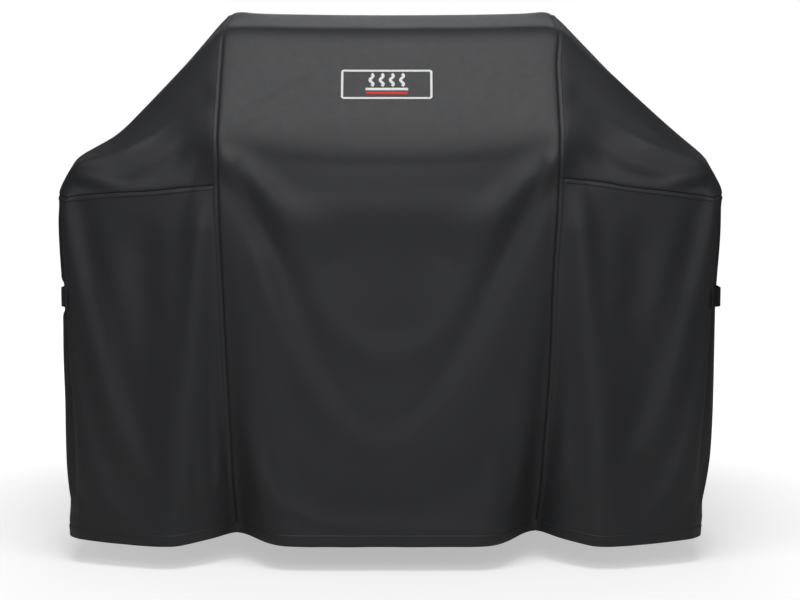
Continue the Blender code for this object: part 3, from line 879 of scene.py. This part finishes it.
class StrapPath:
    """The line of a strap in plan, from its sewn end on the skirt's corner round to the side."""

    def __init__(self, cloth, side, sign, end):
        row = cloth.index[f"{side}_skirt_panel"][2 * sum(UPRIGHT_CELLS[:3])]
        plan = cloth.points[row][:, :2]
        facing = -1 if end == "front" else 1
        plan = plan[(plan[:, 1] * facing > -0.10) & (np.abs(plan[:, 0]) > 0.45)]
        plan = plan[np.argsort(-plan[:, 1] * facing)]
        reach = run_lengths(plan)
        reach -= np.interp(-TURN_Y, -plan[:, 1] * facing, reach)
        s = np.arange(PATCH_FROM - 0.004, STRAP_LONG + 0.0005, STRAP_STEP)
        on_cloth = read_along(s, reach, plan)
        on_cloth += facing_out(on_cloth, sign) * CLOTH_THICK
        side_x = np.full(len(s), sign * (SIDE_FACE + STRAP_OUT[end]))
        straight = np.stack([side_x, facing * (TURN_Y - s)], axis=1)
        share = ramp(s, -0.012, 0.010)[:, None]
        self.s = s
        self.places = on_cloth * (1 - share) + straight * share
        for _ in range(4):
            middle = (self.places[:-2] + self.places[2:]) / 2
            self.places[1:-1] += 0.5 * (middle - self.places[1:-1])
        self.out = facing_out(self.places, sign)

    def at(self, s, rise, out):
        """Points at distances s along the strap, risen above its middle and moved out from it."""
        s, rise, out = np.broadcast_arrays(np.asarray(s, float), rise, out)
        place, facing = ([np.interp(s, self.s, v) for v in rows.T] for rows in (self.places, self.out))
        return np.stack([place[0] + out * facing[0], place[1] + out * facing[1], STRAP_Z + rise], axis=-1)

    def outward(self, s):
        plan = [np.interp(s, self.s, self.out[:, k]) for k in (0, 1)]
        return np.stack([*plan, np.zeros_like(plan[0])], axis=-1)


def webbing(path, start, stop, high, thick, out, radii):
    """A length of webbing along a strap's path, with its corners' radii at the start and the stop."""
    count = max(12, int((stop - start) / 0.003))
    s = start + (stop - start) * (1 - np.cos(np.linspace(0, math.pi, count))) / 2
    half = np.full(count, high / 2)
    for radius, gone in zip(radii, (s - start, stop - s)):
        if radius:
            inside = np.clip(1 - gone / radius, 0, 1)
            half -= radius * (1 - np.sqrt(1 - 0.999 * inside**2))
    across, proud = np.array(WEBBING_RING).T
    return loft(np.array([path.at(p, across * h, proud * thick / 2 + out) for p, h in zip(s, half)]))


def path_stitching(path, corners, out):
    """Stitches along straight runs between corners given as places along the strap and heights."""
    lines = []
    for start, stop in zip(corners, corners[1:]):
        s, z = np.linspace(start, stop, 30).T
        lines.append((path.at(s, z, out), path.outward(s)))
    return lines


def box_corners(start, stop, margin, half):
    start, stop = start + margin, stop - margin
    return [(start, -half), (stop, -half), (stop, half), (start, half)]


def add_strap(path, body, material, thread, strip_rise):
    """A strap, its sewn patch and their stitching. Returns the pieces that are sewn flat on the skirt."""
    shape = webbing(path, PATCH_FROM + 0.003, STRAP_LONG, STRAP_HIGH, STRAP_THICK, 0, (0, TIP_RADIUS))
    strap = add_solid(f"{body}_webbing", shape, material, slot="strap_webbing", body=None, replaces=[body])
    start, stop = path.at(BEND_FROM, 0, 0) + SHIFT, path.at(BEND_TO, 0, 0) + SHIFT
    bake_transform(strap)
    on_strap = (STRAP_THICK + PATCH_THICK) / 2
    shape = webbing(path, PATCH_FROM, PATCH_TO, PATCH_HIGH, PATCH_THICK, on_strap, PATCH_RADII)
    patch = add_solid(f"{body}_patch", shape, material, slot="strap_webbing", replaces=[f"{body}_anchor"])
    box = box_corners(PATCH_FROM, PATCH_TO, 0.004, PATCH_HIGH / 2 - 0.005)
    top = on_strap + PATCH_THICK / 2
    lines = path_stitching(path, box + box[:1], top)
    for corner in (0, 1):
        lines += path_stitching(path, [box[corner], box[corner + 2]], top)
    sewn = add_solid(f"{body}_patch_stitching", stitches(lines), thread)
    strip_stop = STRAP_LONG - STRIP_FROM_TIP
    box = box_corners(strip_stop - STRIP_LONG, strip_stop, 0.002, STRIP_HIGH / 2 - 0.002)
    lines = path_stitching(path, box + box[:1], STRAP_THICK / 2 + strip_rise)
    add_solid(f"{body}_strip_stitching", stitches(lines), thread, body=body)
    return [patch, sewn]


def add_straps(cloth, thread):
    """The straps. Returns the pieces of each side that are sewn flat on its skirt."""
    made = {}
    for side, sign in SIDES:
        material = webbing_material(f"{side}_webbing", WEBBING_SHADE[side])
        made[side] = []
        for end, strip_rise in (("front", 0), ("rear", TAPE_PROUD)):
            path = StrapPath(cloth, side, sign, end)
            made[side] += add_strap(path, f"{side}_{end}_strap", material, thread, strip_rise)
        for kind, look in TAPES.items():
            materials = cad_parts[f"{side}_{kind}_strip"].data.materials
            materials.clear()
            materials.append(tape_material(f"{side}_{kind}s", *look))
    return made


# ---- badge ----
BADGE_WIDE, BADGE_HIGH, BADGE_CORNER = 0.180, 0.066, 0.006
BADGE_X = -0.008
BADGE_SHARE = 0.535  # how far up the hood's front its middle is
PLATE_RISE = 0.0010
BORDER_WIDE = 0.0048
LINE_WIDE, LINE_RISE = 0.0062, 0.0008
BAR_HALF, BAR_V, RED_BAR_V = 0.042, -0.0105, -0.0192
WAVE_PLACES, WAVE_LOW, WAVE_TALL, WAVE_SWING = (-0.030, -0.010, 0.010, 0.030), -0.0040, 0.0275, 0.0030
WAVE_STEPS = 36
HALF_ROUND = [(math.cos(a), math.sin(a)) for a in np.radians((180, 150, 120, 90, 60, 30, 0, 300, 240))]


class BadgePlace:
    """Lays points given across and up the hood's front onto the cloth there."""

    def __init__(self, cloth):
        foot = Vector((BADGE_X, FRONT_Y, CREASE_Z - CREASE_SAG))
        head = Vector((BADGE_X, TOP_FRONT_Y, TOP_FRONT_Z))
        self.up = (head - foot).normalized()
        self.right = Vector((1, 0, 0))
        self.out = self.right.cross(self.up)
        self.middle = foot.lerp(head, BADGE_SHARE)
        self.tree = BVHTree.FromPolygons(cloth.points.tolist(), cloth.faces.tolist())

    def lay(self, u, v, height):
        start = self.middle + self.right * u + self.up * v + self.out * 0.1
        found = self.tree.ray_cast(start, -self.out)[0]
        return np.array(found + self.out * height)


def rounded_outline(half_wide, half_high, radius, steps=6):
    """A rectangle with round corners, about the middle."""
    inner_wide, inner_high = half_wide - radius, half_high - radius
    return [
        (sx * inner_wide + radius * math.cos(angle), sy * inner_high + radius * math.sin(angle))
        for sx, sy, first in ((1, -1, -90), (1, 1, 0), (-1, 1, 90), (-1, -1, 180))
        for angle in np.radians(np.linspace(first, first + 90, steps + 1))
    ]


def finely(outline, step=0.004, closed=True):
    """The outline with points added along its longer stretches."""
    ring = list(outline) + ([outline[0]] if closed else [])
    out = []
    for (x0, y0), (x1, y1) in zip(ring, ring[1:]):
        count = max(1, int(math.hypot(x1 - x0, y1 - y0) / step))
        out += [(x0 + (x1 - x0) * k / count, y0 + (y1 - y0) * k / count) for k in range(count)]
    return out if closed else out + [ring[-1]]


def satin_line(place, line, wide=LINE_WIDE, closed=False):
    """A raised line of embroidery: a low half round laid along the line."""
    line = np.array(line)
    around = np.roll(line, -1, axis=0) - np.roll(line, 1, axis=0) if closed else np.gradient(line, axis=0)
    across = unit(np.stack([around[:, 1], -around[:, 0]], axis=1)) * wide / 2
    rings = [
        [place.lay(u + cu * a, v + cv * a, PLATE_RISE + max(b, -0.4) * LINE_RISE) for a, b in HALF_ROUND]
        for (u, v), (cu, cv) in zip(line, across)
    ]
    return loft(np.array(rings), closed)


def badge_plate(place):
    """The patch of cloth that the badge is worked on: a thin plate that follows the hood."""
    half_w, half_h = BADGE_WIDE / 2, BADGE_HIGH / 2
    outline = finely(rounded_outline(half_w, half_h, BADGE_CORNER))
    levels = [(1.0, -0.0004), (1.0, 0.7 * PLATE_RISE), (0.995, PLATE_RISE)]
    levels += [(share / 10, PLATE_RISE) for share in range(9, 0, -1)]
    rings = [[place.lay(u * share, v * share, height) for u, v in outline] for share, height in levels]
    points, faces, _ = loft(np.array(rings))
    uv = [(u * share, v * share) for share, _ in levels for u, v in outline]
    return points, faces, np.array(uv)


def add_badge(cloth, fabric):
    """The badge on the hood, as its pieces."""
    place = BadgePlace(cloth)
    white = satin_material("white_embroidery", (0.92, 0.92, 0.91))
    red = satin_material("red_embroidery", (0.72, 0.030, 0.022))
    plate = badge_plate(place)
    patch = add_solid("badge_patch", plate, fabric, slot="badge_backing", replaces=["badge_plate"])
    half_w, half_h = (BADGE_WIDE - BORDER_WIDE) / 2, (BADGE_HIGH - BORDER_WIDE) / 2
    frame_line = finely(rounded_outline(half_w, half_h, BADGE_CORNER - BORDER_WIDE / 2), 0.005)
    border = satin_line(place, frame_line, BORDER_WIDE, closed=True)
    edge = add_solid("badge_frame", border, white, slot="badge_print", replaces=["badge_border"])
    bar, red_bar = (
        satin_line(place, finely([(-BAR_HALF, v), (BAR_HALF, v)], closed=False)) for v in (BAR_V, RED_BAR_V)
    )
    steps = np.arange(WAVE_STEPS + 1) / WAVE_STEPS
    swing, rise = WAVE_SWING * np.sin(3 * math.pi * steps), WAVE_LOW + WAVE_TALL * steps
    mark = [satin_line(place, np.stack([middle + swing, rise], axis=1)) for middle in WAVE_PLACES]
    mark = joined(mark + [bar])
    waves = add_solid("badge_warm_waves", mark, white, slot="badge_print", replaces=["badge_heat_mark"])
    accent = add_solid("badge_red_bar", red_bar, red, slot="badge_accent", replaces=["badge_accent_bar"])
    return [patch, edge, waves, accent]


# ---- stage ----
CAMERA_DISTANCE = 3.4
CAMERA_HEIGHT = 0.868
CAMERA_PITCH = math.radians(6.3)
CAMERA_X = 0.018
LENS = 78.9


# The lights: their place, what they point at, their size and their power.
LIGHTS = {
    "top": ((0.0, -1.25, 3.1), (0, -0.15, 0.8), (1.8, 1.2), 50),
    "front_low": ((0.0, -2.4, 1.2), (0, -0.25, 0.6), (0.9, 0.9), 5.5),
    "front_high": ((0.0, -2.6, 2.2), (0, -0.25, 0.6), (1.2, 0.8), 13),
    "behind": ((0.0, 2.6, 1.7), (0, 0.0, 0.6), (1.6, 0.8), 20),
}
AMBIENT = 0.05
# Painted light on the floor: a glow that only the camera sees. It is dimmest near the object, where it
# paints shade, and full far out.
FLOOR_GLOW = 0.32
GLOW_REACH = (0.7, 2.4)  # how far out the floor's glow begins to rise, and where it is full
FLOOR_HALF = 30.0


def add_camera():
    camera = bpy.data.cameras.new("camera")
    camera.lens = LENS
    camera.sensor_width = 36
    obj = add_object("camera", camera)
    obj.location = Vector((CAMERA_X, FRONT_Y - CAMERA_DISTANCE, CAMERA_HEIGHT)) + Vector(SHIFT)
    obj.rotation_euler = (math.pi / 2 - CAMERA_PITCH, 0, 0)
    bpy.context.scene.camera = obj


def add_area_light(name, place, target, size, power):
    light = bpy.data.lights.new(name, "AREA")
    light.shape = "RECTANGLE"
    light.size, light.size_y = size
    light.energy = power
    obj = add_object(name, light)
    obj.location = Vector(place) + Vector(SHIFT)
    obj.rotation_euler = (Vector(target) - Vector(place)).to_track_quat("-Z", "Y").to_euler()


def add_world():
    """White to the camera, and a weaker white as light."""
    world = bpy.data.worlds.new("studio")
    bpy.context.scene.world = world
    world.use_nodes = True
    tree = world.node_tree
    lit = tree.nodes["Background"]
    lit.inputs["Color"].default_value = (0.94, 0.97, 1.0, 1)
    lit.inputs["Strength"].default_value = AMBIENT
    seen = add_node(tree, "Background", Color=(1, 1, 1, 1), Strength=1.0)
    path = add_node(tree, "LightPath")
    mix = add_node(tree, "MixShader", Fac=path.outputs["Is Camera Ray"])
    for socket, background in zip(mix.inputs[1:], (lit, seen)):
        tree.links.new(background.outputs["Background"], socket)
    tree.links.new(mix.outputs["Shader"], tree.nodes["World Output"].inputs["Surface"])


def floor_material():
    """Pale studio paper with painted light: to the camera it glows, dimly near the object as painted shade
    and towards white away from it. It lights nothing.
    """
    material, tree, shader, place = new_material("floor_paper", 0.85)
    path = add_node(tree, "LightPath")
    mottled(tree, shader, (0.69, 0.69, 0.69), (0.71, 0.71, 0.71), place["Object"], 3.0)
    # Painted shade near the object: the glow rises with the distance from the middle.
    distance = add_node(tree, "VectorMath", operation="LENGTH")
    tree.links.new(place["Object"], distance.inputs[0])
    glow = add_node(tree, "MapRange", Value=distance.outputs["Value"], To_Min=FLOOR_GLOW, To_Max=1.0)
    glow.inputs["From Min"].default_value, glow.inputs["From Max"].default_value = GLOW_REACH
    shown = math_node(tree, "MULTIPLY", glow.outputs["Result"], path.outputs["Is Camera Ray"])
    shader.inputs["Emission Color"].default_value = (1, 1, 1, 1)
    tree.links.new(shown, shader.inputs["Emission Strength"])
    return material


def add_stage():
    add_world()
    corners = [(x * FLOOR_HALF, y * FLOOR_HALF, 0) for x, y in ((-1, -1), (1, -1), (1, 1), (-1, 1))]
    floor = new_piece("floor", corners, [(0, 1, 2, 3)], floor_material(), body=None)
    floor.location = (0, 0, -HEM_TO_FLOOR)
    for name, light in LIGHTS.items():
        add_area_light(name, *light)
    bpy.context.scene.view_settings.view_transform = "Standard"


def main():
    cloth = build_cloth()
    cloth.smooth(SMOOTHING_ROUNDS)
    settle(cloth)
    cloth = cloth.finer()
    hang_loose(cloth)
    add_folds(cloth)
    cloth.smooth(3)
    press_under_straps(cloth)
    sink_seams(cloth)
    fabric = cover_material()
    thread = thread_material("black_thread", (0.014, 0.014, 0.015))
    panels = add_panels(cloth, fabric)
    edges = add_seams(cloth, fabric, thread)
    patches = add_straps(cloth, thread)
    badge = add_badge(cloth, fabric)
    add_camera()
    add_stage()


main()
